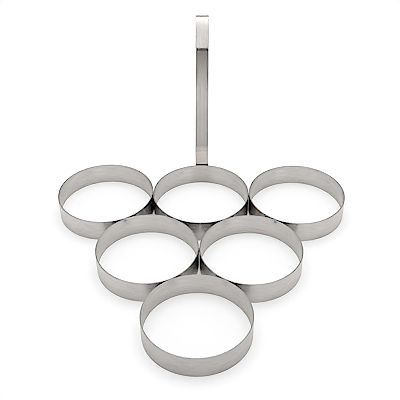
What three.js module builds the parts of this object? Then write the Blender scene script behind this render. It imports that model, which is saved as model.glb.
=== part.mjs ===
// Pancake mould: six open steel rings in a triangle, spot welded together where they meet,
// with a bent strip handle welded to the back of the middle rear ring.
// Millimetres, +Z up. The rings stand on Z = 0 and the single front ring is towards -Y.

import * as THREE from 'three';

const { degToRad } = THREE.MathUtils;

// Rings

const ringOuterDiameter = 101.6;
const ringWall = 1;
const ringHeight = 23.5;
const ringGap = 0.5; // clear space between neighbouring walls, bridged by the spot welds
const facetsPerSixth = 16;

// Spot welds between the rings

const spotDiameter = 5;
const spotDrop = 3; // middle of the spot below the rim
const spotSides = 24;

// Handle strip

const stripWidth = 14;
const stripThickness = 1.5;
const footGap = 0.5; // clear space between the foot and the ring's wall
const footLift = 2; // lower end above the griddle
const footRise = 16; // straight stretch above the rim
const leanAngle = degToRad(33.5); // of the shaft, back from upright
const leanBendRadius = 10; // inside the bend
const shaftLength = 137;
const hookMouthAngle = degToRad(9); // between the shaft and the lip's end
const hookBendRadius = 4.5; // inside the bend
const lipCurlAngle = degToRad(10); // gentle curve where the lip leaves the bend
const lipCurlRadius = 80;
const lipLength = 19; // straight stretch after the curve
const bendSteps = 14;

// Fillet welds on the handle's foot

const filletGap = 0.3; // clear space between the fillet and the ring's wall
const filletLeg = 1.6; // along the ring's wall
const filletEndSpace = 2.5; // bare strip left above and below
const filletSteps = 4;

// Worked out from the sizes above

const outerRadius = ringOuterDiameter / 2;
const innerRadius = outerRadius - ringWall;
const facetCount = 6 * facetsPerSixth;
const facetAngle = (2 * Math.PI) / facetCount;
const outerFlat = outerRadius * Math.cos(facetAngle / 2); // axis to the middle of a facet
const ringPitch = ringOuterDiameter + ringGap;
const rowPitch = ringPitch * Math.sin(Math.PI / 3);
const footRadius = outerRadius + footGap; // ring axis to the foot's front face

const ringCentres = {
  back_left: new THREE.Vector2(-ringPitch, rowPitch),
  back_centre: new THREE.Vector2(0, rowPitch),
  back_right: new THREE.Vector2(ringPitch, rowPitch),
  middle_left: new THREE.Vector2(-ringPitch / 2, 0),
  middle_right: new THREE.Vector2(ringPitch / 2, 0),
  front: new THREE.Vector2(0, -rowPitch),
};
const handleRing = ringCentres.back_centre;

const ringSteel = { color: 0xb8b3ae, roughness: 0.34, metalness: 1 };
const handleSteel = { color: 0xbab6b2, roughness: 0.3, metalness: 1 };
const weldSteel = { color: 0x8f8b88, roughness: 0.5, metalness: 1 };

function namedMesh(name, geometry, finish) {
  const mesh = new THREE.Mesh(geometry, new THREE.MeshStandardMaterial(finish));
  mesh.name = name;
  return mesh;
}

// One rolled ring, open above and below, with the middle of a facet towards +X
// and so towards every neighbour

function ringGeometry() {
  const section = [
    new THREE.Vector2(innerRadius, 0),
    new THREE.Vector2(outerRadius, 0),
    new THREE.Vector2(outerRadius, ringHeight),
    new THREE.Vector2(innerRadius, ringHeight),
    new THREE.Vector2(innerRadius, 0),
  ];
  const firstEdge = Math.PI / 2 + facetAngle / 2;
  return new THREE.LatheGeometry(section, facetCount, firstEdge).rotateX(Math.PI / 2);
}

// One spot weld: a nugget that fills the gap between two facing facets.
// Local X runs from one ring's axis to the other's.

function spotGeometry() {
  const radius = spotDiameter / 2;
  const gapAcross = ringPitch - 2 * outerFlat;
  const nugget = new THREE.CylinderGeometry(radius, radius, gapAcross, spotSides);
  return nugget.rotateZ(Math.PI / 2).translate(0, 0, ringHeight - spotDrop);
}

// The handle's side view, walked along the middle of the strip: upright on the ring,
// leaning back above it, then turned over forwards into a hook.
// Shape X is back from the ring's axis and shape Y is up.

function handleOutline() {
  const frontFace = [];
  const backFace = [];
  const place = new THREE.Vector2(footRadius + stripThickness / 2, footLift);
  let lean = 0;

  function mark() {
    const across = new THREE.Vector2(Math.cos(lean), -Math.sin(lean));
    across.multiplyScalar(stripThickness / 2);
    frontFace.push(place.clone().sub(across));
    backFace.push(place.clone().add(across));
  }

  function run(length) {
    place.x += length * Math.sin(lean);
    place.y += length * Math.cos(lean);
  }

  function bend(angle, insideRadius) {
    const turn = angle / bendSteps;
    const chord = 2 * (insideRadius + stripThickness / 2) * Math.sin(Math.abs(turn) / 2);
    for (let step = 0; step < bendSteps; step += 1) {
      lean += turn / 2;
      run(chord);
      lean += turn / 2;
      mark();
    }
  }

  mark();
  run(ringHeight + footRise - footLift);
  mark();
  bend(leanAngle, leanBendRadius);
  run(shaftLength);
  mark();
  bend(hookMouthAngle + lipCurlAngle - Math.PI, hookBendRadius);
  bend(-lipCurlAngle, lipCurlRadius);
  run(lipLength);
  mark();
  return new THREE.Shape([...frontFace, ...backFace.reverse()]);
}

function handleGeometry() {
  const geometry = new THREE.ExtrudeGeometry(handleOutline(), {
    depth: stripWidth,
    bevelEnabled: false,
  });
  geometry.translate(0, 0, -stripWidth / 2);
  const backwards = new THREE.Vector3(0, 1, 0);
  const upwards = new THREE.Vector3(0, 0, 1);
  const sideways = new THREE.Vector3(1, 0, 0);
  return geometry.applyMatrix4(new THREE.Matrix4().makeBasis(backwards, upwards, sideways));
}

// One fillet between an edge of the strip's foot and the ring's wall.
// Side is 1 for the edge towards +X and -1 for the other.

function filletGeometry(side) {
  const edge = stripWidth / 2;
  const stripBack = footRadius + stripThickness;
  const seatRadius = outerRadius + filletGap;
  const outline = new THREE.Shape();
  outline.moveTo(side * edge, stripBack);
  for (let step = 0; step <= filletSteps; step += 1) {
    const across = edge + (filletLeg * step) / filletSteps;
    outline.lineTo(side * across, Math.sqrt(seatRadius ** 2 - across ** 2));
  }
  outline.closePath();
  const low = footLift + filletEndSpace;
  const high = ringHeight - filletEndSpace;
  const geometry = new THREE.ExtrudeGeometry(outline, { depth: high - low, bevelEnabled: false });
  return geometry.translate(0, 0, low);
}

const mould = new THREE.Group();

for (const [name, centre] of Object.entries(ringCentres)) {
  const ring = namedMesh(`ring_${name}`, ringGeometry(), ringSteel);
  ring.position.set(centre.x, centre.y, 0);
  mould.add(ring);
}

// Two rings are neighbours where their axes lie one pitch apart

const reach = ringPitch + ringGap;
const ringNames = Object.keys(ringCentres);
ringNames.forEach((first, index) => {
  for (const second of ringNames.slice(index + 1)) {
    const towards = ringCentres[second].clone().sub(ringCentres[first]);
    if (towards.length() < reach) {
      const spot = namedMesh(`spot_weld_${first}_to_${second}`, spotGeometry(), weldSteel);
      const middle = ringCentres[first].clone().addScaledVector(towards, 0.5);
      spot.position.set(middle.x, middle.y, 0);
      spot.rotation.z = towards.angle();
      mould.add(spot);
    }
  }
});

const handleGroup = new THREE.Group();
handleGroup.position.set(handleRing.x, handleRing.y, 0);
handleGroup.add(namedMesh('handle', handleGeometry(), handleSteel));
handleGroup.add(namedMesh('handle_fillet_left', filletGeometry(-1), weldSteel));
handleGroup.add(namedMesh('handle_fillet_right', filletGeometry(1), weldSteel));
mould.add(handleGroup);

// The origin is under the middle of the whole object's box

const box = new THREE.Box3().setFromObject(mould, true);
const boxMiddle = box.getCenter(new THREE.Vector3());
mould.position.set(-boxMiddle.x, -boxMiddle.y, -box.min.z);

export default mould;
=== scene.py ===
import math

import bpy
from mathutils import Matrix, Vector, noise


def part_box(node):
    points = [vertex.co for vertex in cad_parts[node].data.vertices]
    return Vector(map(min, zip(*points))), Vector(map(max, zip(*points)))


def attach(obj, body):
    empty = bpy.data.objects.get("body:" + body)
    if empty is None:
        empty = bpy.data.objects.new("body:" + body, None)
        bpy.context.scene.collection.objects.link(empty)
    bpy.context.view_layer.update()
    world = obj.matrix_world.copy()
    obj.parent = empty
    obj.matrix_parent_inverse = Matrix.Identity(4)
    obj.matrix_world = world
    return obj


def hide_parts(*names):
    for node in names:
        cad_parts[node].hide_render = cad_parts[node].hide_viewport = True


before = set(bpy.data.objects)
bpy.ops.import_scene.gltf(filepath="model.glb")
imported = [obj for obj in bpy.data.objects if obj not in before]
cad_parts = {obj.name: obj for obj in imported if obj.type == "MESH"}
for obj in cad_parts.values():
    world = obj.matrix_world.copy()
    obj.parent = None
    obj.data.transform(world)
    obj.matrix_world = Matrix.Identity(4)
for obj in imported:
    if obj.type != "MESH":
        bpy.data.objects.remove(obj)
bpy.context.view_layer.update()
scene = bpy.context.scene
mm = 0.001    # the frame is in metres
print("frame loaded,", len(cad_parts), "solids")

# camera

view = {
    "fromMiddle": (0.01748, -0.56037, 0.52347),    # from the floor between the two middle rings
    "pitchDown": 38.156,
    "yaw": 1.637,
    "roll": -0.614,
    "lens": 68.93,
    "sensor": 36.0,
    "clipStart": 0.01,
}


def addCamera():
    leftLow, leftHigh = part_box("ring_middle_left")
    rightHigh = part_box("ring_middle_right")[1]
    middle = Vector((leftLow.x + rightHigh.x, leftLow.y + leftHigh.y, 0)) / 2
    data = bpy.data.cameras.new("camera")
    data.lens = view["lens"]
    data.sensor_width = view["sensor"]
    data.clip_start = view["clipStart"]
    camera = bpy.data.objects.new("camera", data)
    yaw = Matrix.Rotation(math.radians(view["yaw"]), 4, "Z")
    pitch = Matrix.Rotation(math.radians(90 - view["pitchDown"]), 4, "X")
    roll = Matrix.Rotation(math.radians(view["roll"]), 4, "Z")
    place = middle + Vector(view["fromMiddle"])
    camera.matrix_world = Matrix.Translation(place) @ yaw @ pitch @ roll
    scene.collection.objects.link(camera)
    scene.camera = camera


addCamera()
print("camera set")

# node helpers


def freshMaterial(name):
    material = bpy.data.materials.new(name)
    material.use_nodes = True
    material.node_tree.nodes.clear()
    return material


def put(tree, kind, **settings):
    node = tree.nodes.new(kind)
    for name, value in settings.items():
        setattr(node, name, value)
    return node


def colourRamp(tree, source, stops):
    ramp = put(tree, "ShaderNodeValToRGB")
    elements = ramp.color_ramp.elements
    while len(elements) < len(stops):
        elements.new(0.5)
    for element, (place, colour) in zip(elements, stops):
        element.position = place
        element.color = (*colour, 1)
    tree.links.new(source, ramp.inputs["Fac"])
    return ramp.outputs["Color"]


def cloudy(tree, source, scale, detail, roughness):
    mapping = put(tree, "ShaderNodeMapping")
    mapping.inputs["Scale"].default_value = scale
    cloud = put(tree, "ShaderNodeTexNoise")
    cloud.inputs["Scale"].default_value = 1
    cloud.inputs["Detail"].default_value = detail
    cloud.inputs["Roughness"].default_value = roughness
    tree.links.new(source, mapping.inputs["Vector"])
    tree.links.new(mapping.outputs["Vector"], cloud.inputs["Vector"])
    return cloud.outputs["Fac"]


def weighed(tree, sources, weights):
    total = None
    for source, weight in zip(sources, weights):
        step = put(tree, "ShaderNodeMath", operation="MULTIPLY_ADD")
        tree.links.new(source, step.inputs[0])
        step.inputs[1].default_value = weight
        step.inputs[2].default_value = 0
        if total is not None:
            tree.links.new(total, step.inputs[2])
        total = step.outputs["Value"]
    return total


def ranged(tree, source, low, high, start, end):
    fit = put(tree, "ShaderNodeMapRange")
    fit.inputs["From Min"].default_value = low
    fit.inputs["From Max"].default_value = high
    fit.inputs["To Min"].default_value = start
    fit.inputs["To Max"].default_value = end
    tree.links.new(source, fit.inputs["Value"])
    return fit.outputs["Result"]


# studio: a white table lit from below, a surround that is bright overhead and dim above
# the camera, and a softbox over the rings

studio = {
    "floorSize": 12.0,
    "floorGrey": 0.625,        # share of the light from above that it gives back
    "floorGlow": 0.425,        # brightness of the light from below
    "glowColour": (1.09, 1.0, 0.93),    # as the steel sees it
    "frontGlow": 0.65,         # share of the glow that reaches the steel at the table's front
    "glowFades": (-0.08, -0.19),    # from and to, towards the camera
    "nookReach": 0.02,         # how near a wall dims the glow that the steel sees
    "nookGlow": 0.68,          # share of it left in the deepest nook
    "nookSamples": 6,
    # height in degrees above level, brightness
    "cameraSide": ((0, 0.85), (15, 0.9), (27, 0.75), (33, 0.57), (36.5, 1.24), (40, 0.02), (45, 0.04),
                   (52, 0.18), (58, 0.23), (66, 0.38), (74, 0.52), (82, 0.85), (90, 1.9)),
    "farSide": ((0, 1.1), (18, 1.1), (30, 0.6), (53, 0.6), (60, 1.2), (68, 2.6), (90, 1.9)),
    "sideBlend": 0.35,         # where the two sides of the surround run into each other
    "backdrop": 0.916,         # what the camera sees past the floor, as bright as the floor there
    "boxSize": (1.0, 0.8),
    "boxPlace": (0.0, 0.1, 0.8),
    "boxBrightness": 0.74,
    "boxWatts": 4,             # watts per square metre at a brightness of 1
    "boxColour": (0.975, 0.99, 1.0),
    "sharpening": 0.5,
}


def skyRamp(tree, height, levels, peak):
    stops = []
    for degrees, level in levels:
        stops.append((math.sin(math.radians(degrees)), (level / peak,) * 3))
    return colourRamp(tree, height, stops)


def addSurround():
    world = bpy.data.worlds.new("studio")
    world.use_nodes = True
    tree = world.node_tree
    tree.nodes.clear()
    direction = put(tree, "ShaderNodeTexCoord")
    split = put(tree, "ShaderNodeSeparateXYZ")
    tree.links.new(direction.outputs["Generated"], split.inputs["Vector"])
    peak = max(level for _, level in studio["cameraSide"] + studio["farSide"])
    near = skyRamp(tree, split.outputs["Z"], studio["cameraSide"], peak)
    far = skyRamp(tree, split.outputs["Z"], studio["farSide"], peak)
    blend = studio["sideBlend"]
    side = ranged(tree, split.outputs["Y"], -blend, blend, 0, 1)
    mix = put(tree, "ShaderNodeMixRGB")
    tree.links.new(side, mix.inputs["Fac"])
    tree.links.new(near, mix.inputs["Color1"])
    tree.links.new(far, mix.inputs["Color2"])
    light = put(tree, "ShaderNodeBackground")
    light.inputs["Strength"].default_value = peak
    tree.links.new(mix.outputs["Color"], light.inputs["Color"])
    backdrop = put(tree, "ShaderNodeBackground")
    backdrop.inputs["Color"].default_value = (1, 1, 1, 1)
    backdrop.inputs["Strength"].default_value = studio["backdrop"]
    seen = put(tree, "ShaderNodeLightPath")
    either = put(tree, "ShaderNodeMixShader")
    tree.links.new(seen.outputs["Is Camera Ray"], either.inputs["Fac"])
    tree.links.new(light.outputs["Background"], either.inputs[1])
    tree.links.new(backdrop.outputs["Background"], either.inputs[2])
    output = put(tree, "ShaderNodeOutputWorld")
    tree.links.new(either.outputs["Shader"], output.inputs["Surface"])
    scene.world = world


def addSoftbox():
    width, depth = studio["boxSize"]
    data = bpy.data.lights.new("softbox", "AREA")
    data.shape = "RECTANGLE"
    data.size = width
    data.size_y = depth
    data.energy = studio["boxBrightness"] * studio["boxWatts"] * width * depth
    data.color = studio["boxColour"]
    softbox = bpy.data.objects.new("softbox", data)
    softbox.location = studio["boxPlace"]
    softbox.visible_camera = False
    scene.collection.objects.link(softbox)


def addFloor():
    half = studio["floorSize"] / 2
    mesh = bpy.data.meshes.new("floor")
    corners = [(-half, -half, 0), (half, -half, 0), (half, half, 0), (-half, half, 0)]
    mesh.from_pydata(corners, [], [(0, 1, 2, 3)])
    floor = bpy.data.objects.new("floor", mesh)
    scene.collection.objects.link(floor)
    material = freshMaterial("floor")
    tree = material.node_tree
    matt = put(tree, "ShaderNodeBsdfDiffuse")
    matt.inputs["Color"].default_value = (studio["floorGrey"],) * 3 + (1,)
    place = put(tree, "ShaderNodeTexCoord")
    split = put(tree, "ShaderNodeSeparateXYZ")
    tree.links.new(place.outputs["Object"], split.inputs["Vector"])
    back, front = studio["glowFades"]
    full = studio["floorGlow"]
    faded = ranged(tree, split.outputs["Y"], front, back, full * studio["frontGlow"], full)
    nook = put(tree, "ShaderNodeAmbientOcclusion", samples=studio["nookSamples"])
    nook.inputs["Distance"].default_value = studio["nookReach"]
    clear = ranged(tree, nook.outputs["AO"], 0, 1, studio["nookGlow"], 1)
    dimmed = put(tree, "ShaderNodeMath", operation="MULTIPLY")
    tree.links.new(faded, dimmed.inputs[0])
    tree.links.new(clear, dimmed.inputs[1])
    seen = put(tree, "ShaderNodeLightPath")
    level = put(tree, "ShaderNodeMix")
    tree.links.new(seen.outputs["Is Camera Ray"], level.inputs["Factor"])
    tree.links.new(dimmed.outputs["Value"], level.inputs["A"])
    level.inputs["B"].default_value = full    # the camera sees an even white
    colour = put(tree, "ShaderNodeMixRGB")
    tree.links.new(seen.outputs["Is Camera Ray"], colour.inputs["Fac"])
    colour.inputs["Color1"].default_value = (*studio["glowColour"], 1)
    colour.inputs["Color2"].default_value = (1, 1, 1, 1)
    glow = put(tree, "ShaderNodeEmission")
    tree.links.new(colour.outputs["Color"], glow.inputs["Color"])
    tree.links.new(level.outputs["Result"], glow.inputs["Strength"])
    both = put(tree, "ShaderNodeAddShader")
    tree.links.new(matt.outputs["BSDF"], both.inputs[0])
    tree.links.new(glow.outputs["Emission"], both.inputs[1])
    output = put(tree, "ShaderNodeOutputMaterial")
    tree.links.new(both.outputs["Shader"], output.inputs["Surface"])
    mesh.materials.append(material)


def finishPicture():
    scene.view_settings.view_transform = "Standard"
    scene.use_nodes = True
    tree = scene.node_tree
    tree.nodes.clear()
    picture = put(tree, "CompositorNodeRLayers")
    clean = put(tree, "CompositorNodeDenoise")
    sharpen = put(tree, "CompositorNodeFilter", filter_type="SHARPEN_DIAMOND")
    sharpen.inputs["Fac"].default_value = studio["sharpening"]
    finished = put(tree, "CompositorNodeComposite")
    tree.links.new(picture.outputs["Image"], clean.inputs["Image"])
    tree.links.new(clean.outputs["Image"], sharpen.inputs["Image"])
    tree.links.new(sharpen.outputs["Image"], finished.inputs["Image"])


addSurround()
addSoftbox()
addFloor()
finishPicture()
print("studio set")

# steel

ringFinish = {
    "dark": (0.474, 0.47, 0.466),
    "light": (0.635, 0.63, 0.625),
    "painted": {               # tints laid on by the meshes' own layers, in this order
        "weldTint": (0.40, 0.375, 0.355),
        "dullAndShade": (0.446, 0.442, 0.437),    # cut edges
    },
    "roughness": (0.21, 0.31),
    "dullRoughness": 0.45,
    "anisotropy": 0.88,
    "grainScale": (55, 55, 5200),    # fine brush lines round the ring
    "bandScale": (60, 60, 1000),     # broader lines in the grain
    "patchScale": (38, 38, 60),
    "mix": (0.36, 0.36, 0.28),       # of fine lines, broader lines and patches
    "bump": 0.03,
}

handleFinish = {
    "dark": (0.485, 0.464, 0.447),
    "light": (0.675, 0.644, 0.621),
    "painted": {
        "weldTint": (0.40, 0.375, 0.355),
        "dullAndShade": (0.29, 0.28, 0.27),       # painted shade on the lip's underside inside the hook, so the shaft below reflects a dark band
        "foldHighlight": (0.73, 0.70, 0.675),   # painted highlight on the front face along the tight fold
    },
    "roughness": (0.17, 0.25),
    "dullRoughness": 0.3,
    "anisotropy": 0.9,
    "grainScale": (5200, 45, 45),    # brush lines along the strip
    "bandScale": (900, 12, 12),
    "patchScale": (60, 30, 30),
    "mix": (0.4, 0.18, 0.42),
    "bump": 0.06,
}

# what both brushed finishes share
brush = {
    "fineNoise": (3, 0.6),           # detail and roughness, for the fine lines
    "broadNoise": (2, 0.5),          # for the broader lines and the patches
    "contrast": (0.3, 0.7),          # noise that gives the dark and the light tint
    "glossTurn": 0.25,               # of a whole turn, from along the lines to across them
    "bumpDepth": 0.1 * mm,
    "bumpMix": (0.6, 0.4),           # of fine and broader lines
}

weldFinish = {
    "dark": (0.20, 0.19, 0.185),
    "light": (0.46, 0.44, 0.42),
    "straw": (0.42, 0.34, 0.24),
    "stops": (0.3, 0.55, 0.7),       # noise that gives these three tints
    "roughness": (0.35, 0.6),        # at the first stop and the last
    "lumpScale": 900,
    "lumpNoise": (3, 0.6),           # detail and roughness
    "bump": 0.4,
    "bumpDepth": 0.1 * mm,
}


def bareMetal(tree):
    steel = put(tree, "ShaderNodeBsdfPrincipled")
    steel.inputs["Metallic"].default_value = 1
    output = put(tree, "ShaderNodeOutputMaterial")
    tree.links.new(steel.outputs["BSDF"], output.inputs["Surface"])
    return steel


def emboss(tree, steel, height, strength, depth):
    bump = put(tree, "ShaderNodeBump")
    bump.inputs["Strength"].default_value = strength
    bump.inputs["Distance"].default_value = depth
    tree.links.new(height, bump.inputs["Height"])
    tree.links.new(bump.outputs["Normal"], steel.inputs["Normal"])


def blendedByLayer(tree, layerName, under, over):
    layer = put(tree, "ShaderNodeAttribute", attribute_name=layerName)
    mix = put(tree, "ShaderNodeMixRGB")
    tree.links.new(layer.outputs["Fac"], mix.inputs["Fac"])
    tree.links.new(under, mix.inputs["Color1"])
    mix.inputs["Color2"].default_value = (*over, 1)
    return mix.outputs["Color"]


def brushedSteel(name, finish, axis):
    material = freshMaterial(name)
    tree = material.node_tree
    place = put(tree, "ShaderNodeTexCoord").outputs["Object"]
    grain = cloudy(tree, place, finish["grainScale"], *brush["fineNoise"])
    bands = cloudy(tree, place, finish["bandScale"], *brush["broadNoise"])
    patches = cloudy(tree, place, finish["patchScale"], *brush["broadNoise"])
    blend = weighed(tree, (grain, bands, patches), finish["mix"])
    low, high = brush["contrast"]

    steel = bareMetal(tree)
    tint = colourRamp(tree, blend, ((low, finish["dark"]), (high, finish["light"])))
    for layerName, colour in finish["painted"].items():
        tint = blendedByLayer(tree, layerName, tint, colour)
    tree.links.new(tint, steel.inputs["Base Color"])
    smoothest, roughest = finish["roughness"]
    polish = ranged(tree, blend, low, high, roughest, smoothest)
    polish = blendedByLayer(tree, "dullAndShade", polish, (finish["dullRoughness"],) * 3)
    tree.links.new(polish, steel.inputs["Roughness"])
    steel.inputs["Anisotropic"].default_value = finish["anisotropy"]
    steel.inputs["Anisotropic Rotation"].default_value = brush["glossTurn"]
    along = put(tree, "ShaderNodeTangent", direction_type="RADIAL", axis=axis)
    tree.links.new(along.outputs["Tangent"], steel.inputs["Tangent"])
    relief = weighed(tree, (grain, bands), brush["bumpMix"])
    emboss(tree, steel, relief, finish["bump"], brush["bumpDepth"])
    return material


def weldMetal(name):
    material = freshMaterial(name)
    tree = material.node_tree
    place = put(tree, "ShaderNodeTexCoord").outputs["Object"]
    lumps = cloudy(tree, place, (weldFinish["lumpScale"],) * 3, *weldFinish["lumpNoise"])
    steel = bareMetal(tree)
    tints = (weldFinish["dark"], weldFinish["light"], weldFinish["straw"])
    tint = colourRamp(tree, lumps, tuple(zip(weldFinish["stops"], tints)))
    tree.links.new(tint, steel.inputs["Base Color"])
    first, _, last = weldFinish["stops"]
    polish = ranged(tree, lumps, first, last, *weldFinish["roughness"])
    tree.links.new(polish, steel.inputs["Roughness"])
    emboss(tree, steel, lumps, weldFinish["bump"], weldFinish["bumpDepth"])
    return material


ringSteel = brushedSteel("ringSteel", ringFinish, "Z")
handleSteel = brushedSteel("handleSteel", handleFinish, "X")
weldSteel = weldMetal("weldSteel")
print("finishes ready")

# meshes


def gridFaces(rows, columns, closeRows):
    faces = []
    for row in range(rows if closeRows else rows - 1):
        following = (row + 1) % rows
        for column in range(columns):
            side = (column + 1) % columns
            faces.append((row * columns + column, following * columns + column,
                          following * columns + side, row * columns + side))
    return faces


def tubeFaces(rows, columns):
    # a closed tube, facing out where each loop turns left about the way that the rows run
    faces = [tuple(reversed(face)) for face in gridFaces(rows, columns, False)]
    faces.append(tuple(reversed(range(columns))))
    faces.append(tuple(range((rows - 1) * columns, rows * columns)))
    return faces


def addPiece(name, points, faces, place, material, nodes=(), layers=None):
    mesh = bpy.data.meshes.new(name)
    mesh.from_pydata(points, [], faces)
    for layerName, values in (layers or {}).items():
        layer = mesh.attributes.new(layerName, "FLOAT", "POINT")
        layer.data.foreach_set("value", values)
    mesh.validate()
    mesh.shade_smooth()
    mesh.materials.append(material)
    piece = bpy.data.objects.new(name, mesh)
    piece.location = place
    scene.collection.objects.link(piece)
    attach(piece, "root")
    if nodes:
        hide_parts(*nodes)


# rings

ring = {
    "wall": 1.0 * mm,
    "edgeEase": 0.15 * mm,     # radius left on the cut edges
    "easeSteps": 4,
    "wallRows": 14,
    "steps": 288,
    "waver": 0.09 * mm,        # how far the rolled wall strays from a true circle
    "lobes": ((2, 1.0), (3, 0.6), (5, 0.35), (9, 0.12)),    # count round the ring, share of the waver
    "phaseSpread": 6.28,       # how far the noise turns the lobes from ring to ring
    "phaseStep": (3.7, 1.9, 0.5),    # step in the noise for each ring and each lobe, and its layer
    "pull": 0.1 * mm,          # how far a weld draws the wall towards the next ring
    "pullFade": 40,            # the higher, the closer it keeps to the weld
    "spotHeat": 0.45,          # strength of the weld tint
    "spotHeatReach": 4.0 * mm,
    "footHeat": (0.6, 0.28),   # at the floor and at the rim, where the handle's foot is welded on
    "footHeatReach": 12.5 * mm,
}
ringNames = ("back_left", "back_centre", "back_right", "middle_left", "middle_right", "front")


def ringCentre(name):
    low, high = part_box("ring_" + name)
    return Vector(((low.x + high.x) / 2, (low.y + high.y) / 2, low.z))


def weldedPair(node):
    return node[len("spot_weld_"):].split("_to_")


def sidesWelded(name):
    sides = []
    for first, second in map(weldedPair, spotNodes):
        if name in (first, second):
            towards = ringCentres[second if name == first else first] - ringCentres[name]
            sides.append(math.atan2(towards.y, towards.x))
    return sides


def spotMiddle(node):
    low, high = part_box(node)
    return (low + high) / 2


ringCentres = {name: ringCentre(name) for name in ringNames}
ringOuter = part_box("ring_front")[1].x    # the front ring stands on the middle line
spotNodes = [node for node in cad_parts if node.startswith("spot_weld_")]
spotMiddles = [spotMiddle(node) for node in spotNodes]
weldSides = {name: sidesWelded(name) for name in ringNames}


def ringSection(outer, height):
    # radius, level, and 1 on the cut edges
    ease = ring["edgeEase"]
    inner = outer - ring["wall"]
    low, high = ease * 2, height - ease * 2    # rows close to the eased edges
    count = ring["wallRows"]
    levels = [low + (high - low) * row / (count - 1) for row in range(count)]
    outside = [(outer, level, 0) for level in levels]
    inside = [(inner, level, 0) for level in reversed(levels)]
    corners = ((inner + ease, ease, 180, []), (outer - ease, ease, 270, outside),
               (outer - ease, height - ease, 0, []), (inner + ease, height - ease, 90, inside))
    section = []
    for radius, level, start, wall in corners:
        for step in range(ring["easeSteps"] + 1):
            angle = math.radians(start + 90 * step / ring["easeSteps"])
            section.append((radius + ease * math.cos(angle), level + ease * math.sin(angle), 1))
        section += wall
    return section


def strayAt(angle, name):
    ringStep, lobeStep, layer = ring["phaseStep"]
    seed = ringNames.index(name) * ringStep
    stray = 0
    for lobes, weight in ring["lobes"]:
        phase = ring["phaseSpread"] * noise.noise((seed, lobes * lobeStep, layer))
        stray += weight * math.cos(lobes * angle + phase)
    drawn = sum(max(0, math.cos(angle - side)) ** ring["pullFade"] for side in weldSides[name])
    return ring["waver"] * stray + ring["pull"] * drawn


def heatAt(place, name, height):
    heat = 0
    for middle in spotMiddles:
        away = (place - middle).length / ring["spotHeatReach"]
        heat = max(heat, ring["spotHeat"] * math.exp(-away * away))
    centre = ringCentres[name]
    if name == "back_centre" and place.y > centre.y:
        low, high = ring["footHeat"]
        away = (place.x - centre.x) / ring["footHeatReach"]
        heat = max(heat, (low + (high - low) * place.z / height) * math.exp(-away ** 4))
    return heat


def addRing(name):
    node = "ring_" + name
    low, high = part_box(node)
    centre = ringCentres[name]
    height = high.z - low.z
    section = ringSection((high.x - low.x) / 2, height)
    points, heat, dullAndShade = [], [], []
    for step in range(ring["steps"]):
        angle = 2 * math.pi * step / ring["steps"]
        stray = strayAt(angle, name)
        for radius, level, edge in section:
            reach = radius + stray
            point = Vector((reach * math.cos(angle), reach * math.sin(angle), level))
            points.append(point)
            heat.append(heatAt(centre + point, name, height))
            dullAndShade.append(edge)
    faces = gridFaces(ring["steps"], len(section), True)
    addPiece(name + "_ring", points, faces, centre, ringSteel, [node],
             {"weldTint": heat, "dullAndShade": dullAndShade})


for name in ringNames:
    addRing(name)
print("rings made,", len(ringNames))

# handle

handle = {
    "width": 14.0 * mm,
    "thickness": 1.5 * mm,
    "footRise": 17.47 * mm,     # straight stretch above the ring's rim
    "crease": 19.5,             # degrees in the tight fold where the lean starts
    "creaseBend": 0.4 * mm,     # radius inside the bend
    "ease": 14.0,               # the rest of the lean, in a wide curve
    "easeBend": 26.6 * mm,
    "shaft": 134.72 * mm,
    "mouth": 9.0,               # degrees between the shaft and the lip's end
    "hookBend": 4.5 * mm,
    "lipCurl": 10.0,            # gentle curve where the lip leaves the bend
    "lipCurlBend": 80.0 * mm,
    "lip": 19.0 * mm,
    "stationGap": 4.0 * mm,
    "bendSteps": 28,
    "edgeEase": 0.3 * mm,
    "easeSteps": 3,
    "faceSteps": 6,             # across the wide faces
    "cornerRound": 0.7 * mm,    # at the corners of the two ends
    "cornerSteps": 5,
    "endThin": 0.8,             # share of edgeEase that each face loses at the very ends
    "weldHeat": 0.5,
    "weldHeatReach": 4.0 * mm,  # in from the welded edges
    "footHeat": 0.3,            # all over the foot
    "footHeatFade": 24.0 * mm,  # up from the rim
}


def handleStations():
    # middle of the strip, lean from upright, and whether it lies in the tight fold
    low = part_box("handle")[0]
    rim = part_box("ring_back_centre")[1].z
    place = Vector((0, low.y + handle["thickness"] / 2, low.z))
    lean = 0.0
    stations = []

    def mark(folded=False):
        stations.append((place.copy(), lean, folded))

    def run(length):
        count = max(1, round(length / handle["stationGap"]))
        for _ in range(count):
            place.y += length / count * math.sin(lean)
            place.z += length / count * math.cos(lean)
            mark()

    def bend(degrees, inside, folded=False):
        nonlocal lean
        turn = math.radians(degrees) / handle["bendSteps"]
        chord = 2 * (inside + handle["thickness"] / 2) * math.sin(abs(turn) / 2)
        for _ in range(handle["bendSteps"]):
            lean += turn / 2
            place.y += chord * math.sin(lean)
            place.z += chord * math.cos(lean)
            lean += turn / 2
            mark(folded)

    mark()
    run(rim + handle["footRise"] - low.z)
    bend(handle["crease"], handle["creaseBend"], folded=True)
    bend(handle["ease"], handle["easeBend"])
    run(handle["shaft"])
    bend(handle["mouth"] + handle["lipCurl"] - 180, handle["hookBend"])
    bend(-handle["lipCurl"], handle["lipCurlBend"])
    run(handle["lip"])
    return stations


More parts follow.
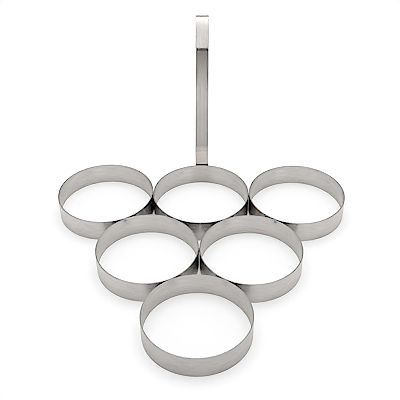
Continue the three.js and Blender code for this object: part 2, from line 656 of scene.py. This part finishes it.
def handleRows():
    # the stations, with closer ones at both ends that are drawn in to round the corners
    corner, ease = handle["cornerRound"], handle["edgeEase"]
    closer = []
    for step in range(handle["cornerSteps"] + 1):
        angle = math.pi / 2 * step / handle["cornerSteps"]
        back = corner * (1 - math.sin(angle))
        inset = corner * (1 - math.cos(angle))
        thin = ease * max(0, 1 - back / ease) * handle["endThin"]
        closer.append((back, inset, thin))

    def drawnIn(station, way, steps):
        place, lean, folded = station
        inward = Vector((0, math.sin(lean), math.cos(lean))) * way
        return [(place + inward * back, lean, folded, inset, thin) for back, inset, thin in steps]

    stations = handleStations()
    rows = drawnIn(stations[0], 1, reversed(closer))
    rows += [(*station, 0, 0) for station in stations[1:-1]]
    rows += drawnIn(stations[-1], -1, closer)
    return rows


def stripSection(inset, thin):
    ease = handle["edgeEase"]
    half = handle["width"] / 2 - inset
    deep = handle["thickness"] / 2 - thin
    loop = []
    for sideX, sideY, start in ((1, 1, 0), (-1, 1, 90), (-1, -1, 180), (1, -1, 270)):
        for step in range(handle["easeSteps"] + 1):
            angle = math.radians(start + 90 * step / handle["easeSteps"])
            loop.append((sideX * (half - ease) + ease * math.cos(angle),
                         sideY * (deep - ease) + ease * math.sin(angle)))
        if sideX * sideY > 0:    # a wide face follows this corner
            span = 2 * (half - ease)
            for step in range(1, handle["faceSteps"]):
                loop.append((sideX * (half - ease - span * step / handle["faceSteps"]), sideY * deep))
    return loop


def addHandle():
    rows = handleRows()
    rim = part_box("ring_back_centre")[1].z
    points, dullAndShade, heat, foldHighlight = [], [], [], []
    for place, lean, folded, inset, thin in rows:
        across = Vector((0, math.cos(lean), -math.sin(lean)))
        turnedOver = lean < -math.pi / 2
        above = max(0, place.z - rim) / handle["footHeatFade"]
        for x, depth in stripSection(inset, thin):
            points.append(place + Vector((x, 0, 0)) + across * depth)
            # painted shade on the underside of the lip, inside the hook; the rings' cut edges use the same
            # layer for their duller finish
            dullAndShade.append(1 if turnedOver and depth < 0 else 0)
            # painted highlight on the front face in the tight fold
            foldHighlight.append(1 if folded and depth < 0 else 0)
            away = (handle["width"] / 2 - abs(x)) / handle["weldHeatReach"]
            welded = handle["weldHeat"] * math.exp(-away * away) if place.z < rim else 0
            heat.append(max(welded, handle["footHeat"] * math.exp(-above ** 4)))
    faces = tubeFaces(len(rows), len(points) // len(rows))
    addPiece("strip_handle", points, faces, (0, 0, 0), handleSteel, ["handle"],
             {"dullAndShade": dullAndShade, "weldTint": heat, "foldHighlight": foldHighlight})


addHandle()
print("handle made")

# spot welds in the gaps between the rings

spot = {
    "acrossRows": 9,
    "aroundSteps": 48,
    "waist": 0.84,             # width half way across the gap, as a share of the full width
    "lump": 0.07,              # how far the lumps stand out, as a share of the radius
    "lumpSpread": 2,           # the higher, the more lumps round the nugget
    "lumpSeed": 90,            # spreads the welds through the noise, so that no two are alike
    "bite": 0.12 * mm,         # how far it runs into each wall
}


def addSpot(node):
    low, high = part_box(node)
    first, second = (ringCentres[name] for name in weldedPair(node))
    towards = second - first
    middle = (first + second) / 2 + Vector((0, 0, (low.z + high.z) / 2))
    reach = (high.z - low.z) / 2
    half = towards.length / 2 - ringOuter + spot["bite"]
    across = towards.normalized()
    around = Vector((-across.y, across.x, 0))
    seedX, seedY = middle.x * spot["lumpSeed"], middle.y * spot["lumpSeed"]
    spread = spot["lumpSpread"]
    points = []
    for row in range(spot["acrossRows"]):
        way = 2 * row / (spot["acrossRows"] - 1) - 1    # from -1 at one wall to 1 at the other
        slim = spot["waist"] + (1 - spot["waist"]) * way * way
        for step in range(spot["aroundSteps"]):
            angle = 2 * math.pi * step / spot["aroundSteps"]
            bumpy = noise.noise((seedX + spread * math.cos(angle), seedY + spread * math.sin(angle), way))
            radius = reach * slim * (1 + spot["lump"] * bumpy)
            points.append(across * half * way + around * radius * math.cos(angle)
                          + Vector((0, 0, radius * math.sin(angle))))
    faces = tubeFaces(spot["acrossRows"], spot["aroundSteps"])
    addPiece(node.replace("spot_weld", "nugget"), points, faces, middle, weldSteel, [node])


for node in spotNodes:
    addSpot(node)
print("spot welds made,", len(spotNodes))

# weld beads along the handle's foot

bead = {
    "rows": 110,
    "faceSteps": 12,
    "swell": 0.55 * mm,        # how far the bead stands out from a flat fillet
    "ripple": 0.10 * mm,
    "ripplePitch": 1.25 * mm,
    "rippleLag": 0.55 * mm,    # the ripples curve back in the middle
    "roundEnd": 1.0 * mm,
    "endLeft": 0.02,           # keeps the very ends from closing to a line
    "bite": 0.15 * mm,         # how far it runs into the wall and the strip
}


def addBead(side, node):
    low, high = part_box(node)
    centre = ringCentres["back_centre"]
    sideways = 1 if side == "right" else -1
    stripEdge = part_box("handle")[1].x - bead["bite"]
    leg = max(abs(low.x), abs(high.x))
    strip = Vector((stripEdge, high.y - centre.y))
    wall = Vector((leg, math.sqrt(ringOuter ** 2 - leg ** 2) - bead["bite"]))
    root = Vector((stripEdge, math.sqrt(ringOuter ** 2 - stripEdge ** 2) - bead["bite"]))
    outward = Vector((strip.y - wall.y, wall.x - strip.x)).normalized()
    points = []
    for row in range(bead["rows"]):
        level = low.z + (high.z - low.z) * row / (bead["rows"] - 1)
        fromEnd = min(level - low.z, high.z - level, bead["roundEnd"]) / bead["roundEnd"]
        full = math.sqrt(max(bead["endLeft"], 1 - (1 - fromEnd) ** 2))
        for step in range(bead["faceSteps"] + 1):
            way = step / bead["faceSteps"]    # from 0 at the strip to 1 at the wall
            arch = 4 * way * (1 - way)
            phase = (level + bead["rippleLag"] * arch) / bead["ripplePitch"]
            rise = arch * bead["swell"] + arch * bead["ripple"] * math.cos(2 * math.pi * phase)
            place = root.lerp(strip.lerp(wall, way) + outward * rise, full)
            points.append((sideways * place.x, place.y, level))
        points.append((sideways * root.x, root.y, level))
    faces = tubeFaces(bead["rows"], len(points) // bead["rows"])
    if sideways > 0:    # its loops turn right
        faces = [tuple(reversed(face)) for face in faces]
    addPiece("weld_bead_" + side, points, faces, (centre.x, centre.y, 0), weldSteel, [node])


for side in ("left", "right"):
    addBead(side, "handle_fillet_" + side)
print("weld beads made")

# the two electrode marks that show, one on each middle ring's inner wall under the rim

electrode = {
    "marks": (("middle_right", 59, 1.0), ("middle_left", 121, 0.35)),    # ring, angle, strength
    "drop": 1.9 * mm,          # middle of the mark below the rim
    "reach": 1.9 * mm,
    "ridge": 1.15 * mm,        # radius of the raised ring
    "ridgeWidth": 0.4 * mm,
    "ridgeHeight": 0.2 * mm,
    "uneven": (0.2, 0.5),      # how much the ridge's radius and height stray
    "unevenStep": (1.5, 0.2),  # steps in the noise, round the ridge and from round to round
    "lift": 0.02 * mm,         # of the whole mark off the wall
    "sink": 0.06 * mm,         # the outer edge drops by this, so it lies under the wall's face
    "sinkFrom": 0.6,           # share of the reach where it starts to drop
    "rounds": 10,
    "firstRound": 0.2,         # place of the innermost round, in rounds from the middle
    "steps": 36,
}


def addElectrodeMarks():
    strayOut, strayUp = electrode["uneven"]
    aroundStep, roundStep = electrode["unevenStep"]
    rounds, first = electrode["rounds"], electrode["firstRound"]
    points, faces = [], []
    for name, degrees, strength in electrode["marks"]:
        low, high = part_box("ring_" + name)
        inner = (high.x - low.x) / 2 - ring["wall"]
        centre = ringCentres[name]
        start = len(points)
        for turn in range(rounds):
            reach = electrode["reach"] * (turn + first) / (rounds - 1 + first)
            edge = max(0, reach / electrode["reach"] - electrode["sinkFrom"]) / (1 - electrode["sinkFrom"])
            for step in range(electrode["steps"]):
                angle = 2 * math.pi * step / electrode["steps"]
                uneven = noise.noise((degrees + aroundStep * math.cos(angle),
                                      aroundStep * math.sin(angle), turn * roundStep))
                offRidge = (reach - electrode["ridge"] * (1 + strayOut * uneven)) / electrode["ridgeWidth"]
                ridge = strength * electrode["ridgeHeight"] * math.exp(-offRidge * offRidge)
                lift = ridge * (1 + strayUp * uneven) + electrode["lift"] - edge * electrode["sink"]
                around = math.radians(degrees) + reach * math.cos(angle) / inner
                radius = inner + strayAt(around, name) - lift
                points.append((centre.x + radius * math.cos(around), centre.y + radius * math.sin(around),
                               high.z - electrode["drop"] + reach * math.sin(angle)))
        for face in tubeFaces(rounds, electrode["steps"]):
            faces.append(tuple(start + corner for corner in face))
    addPiece("electrode_marks", points, faces, (0, 0, 0), weldSteel)


addElectrodeMarks()
print("electrode marks made")
